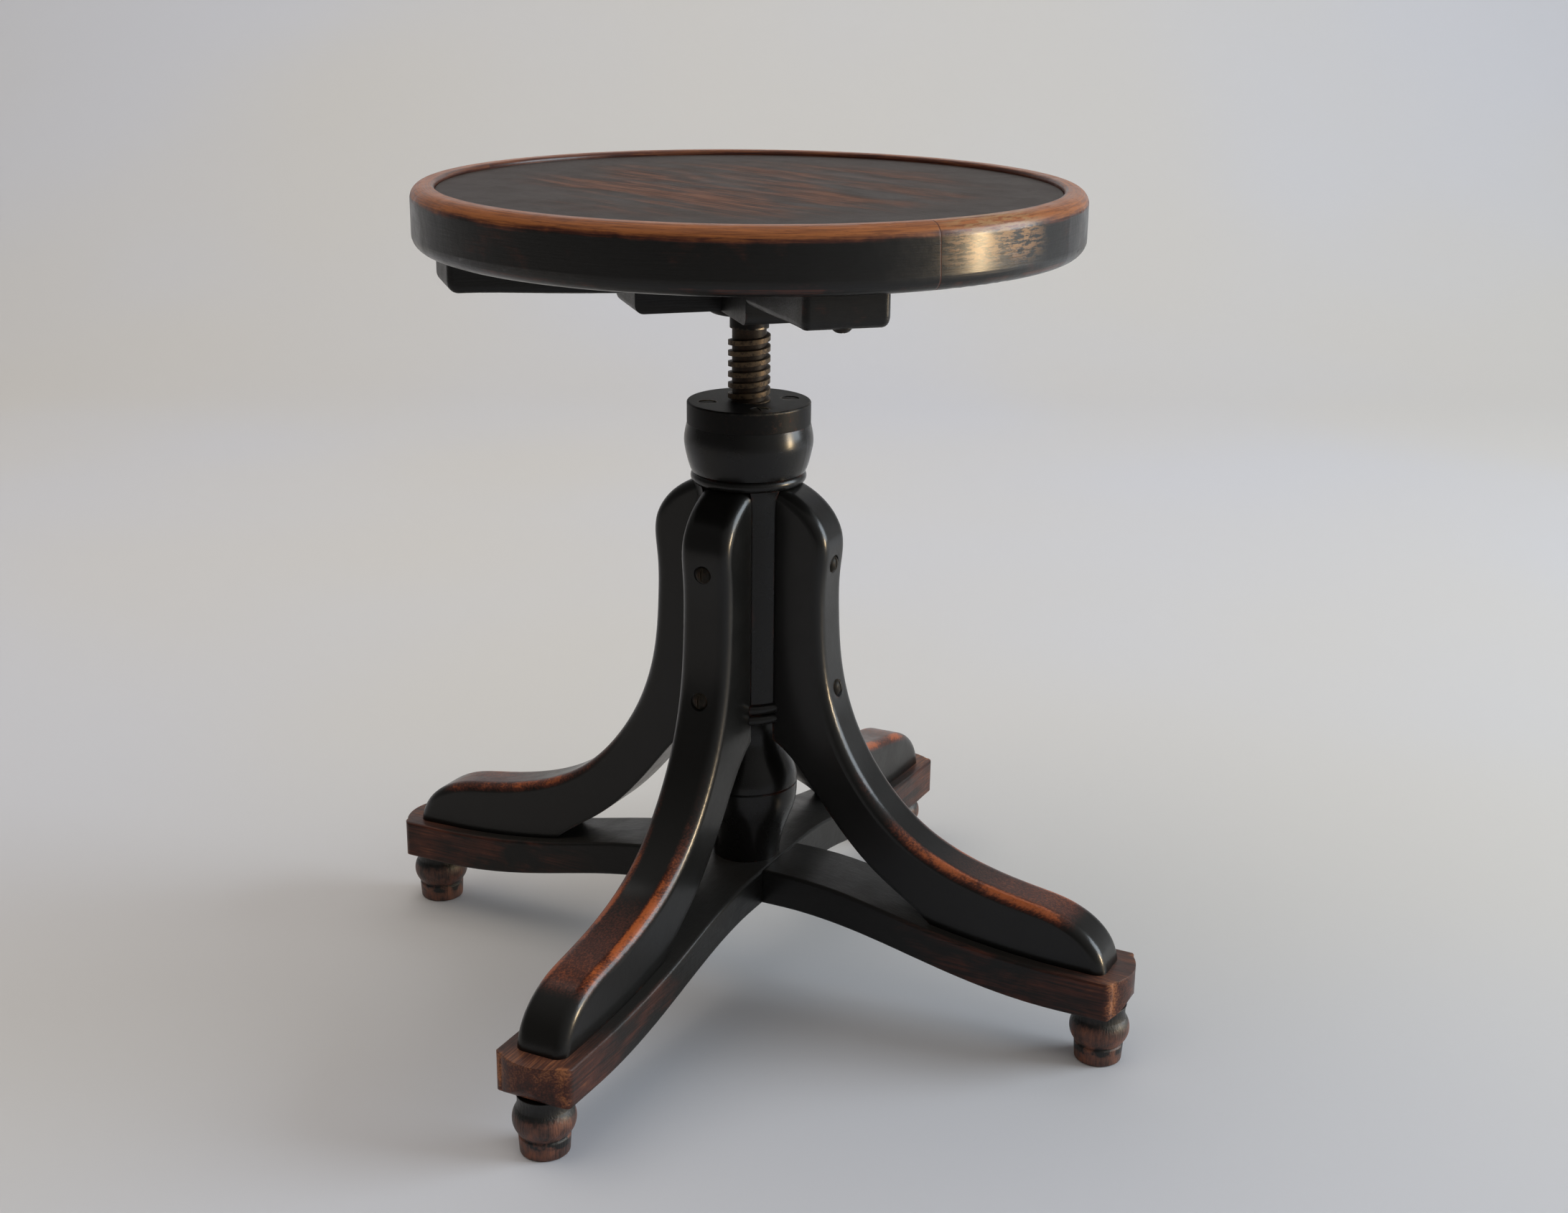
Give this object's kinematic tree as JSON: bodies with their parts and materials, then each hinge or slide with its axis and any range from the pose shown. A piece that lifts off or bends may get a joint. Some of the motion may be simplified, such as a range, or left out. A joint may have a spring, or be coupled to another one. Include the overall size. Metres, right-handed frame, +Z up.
{
  "type": "revolving piano stool",
  "caption": "Round wooden seat on a threaded iron spindle that screws up and down in a turned column with sawn legs on a crossed base with turned feet.",
  "frame": {"origin": "on the floor, on the axis of the column, at the foot of the stool", "axes": "+Z up along the column and the screw; the base arms lie along X and Y; the legs stand at +X, +Y, -X and -Y"},
  "size_m": [0.478, 0.478, 0.4685],
  "materials": {
    "turned_wood": "turned wood stained black, satin polish rubbed thin on the beads",
    "raw_wood": "unstained hardwood, hidden",
    "sawn_wood": "sawn wood stained black, satin polish, arrises and toes worn to red-brown",
    "arm_wood": "sawn wood stained black, ends and lower edges worn to orange-brown",
    "foot_wood": "turned wood, black stain mostly worn off to brown",
    "batten_wood": "plain sawn wood stained black, dull",
    "rim_wood": "bent wood stained black, top band rubbed to orange-brown",
    "panel_wood": "thin wood sheet with open grain, black stain rubbed grey-brown",
    "black_iron": "black iron with bright rubbed edges",
    "spindle_iron": "bare iron screw, oiled, brown with bright crests",
    "screw_iron": "plain iron, dark",
    "screw_brass": "tarnished round screw heads"
  },
  "bodies": {
    "base": {"column": "turned_wood", "tenon_wedge": "raw_wood", "nut_plate": "black_iron", "nut_plate_screws": "screw_iron", "leg_front": "sawn_wood", "leg_right": "sawn_wood", "leg_back": "sawn_wood", "leg_left": "sawn_wood", "leg_screws": "screw_brass", "base_arm_cross": "arm_wood", "base_arm_long": "arm_wood", "arm_screws": "screw_iron", "foot_front": "foot_wood", "foot_right": "foot_wood", "foot_back": "foot_wood", "foot_left": "foot_wood"},
    "lift": {"stop_washer": "screw_iron"},
    "seat": {"spindle": "spindle_iron", "stop_bolt": "screw_iron", "seat_flange": "black_iron", "flange_screws": "screw_iron", "batten_long": "batten_wood", "batten_cross": "batten_wood", "batten_screws": "screw_iron", "seat_rim": "rim_wood", "seat_panel": "panel_wood"}
  },
  "joints": [
    {"name": "seat_lift", "type": "slide", "parent": "base", "child": "lift", "axis": [0, 0, 1], "range_m": [-0.0375, 0.106]},
    {"name": "seat_turn", "type": "hinge", "parent": "lift", "child": "seat", "pos_m": [0, 0, 0.2], "axis": [0, 0, 1], "range_deg": [-2268, 6444]}
  ],
  "couplings": [
    {"joint": "seat_lift", "follows": "seat_turn", "m_per_rad": 0.00093901}
  ]
}
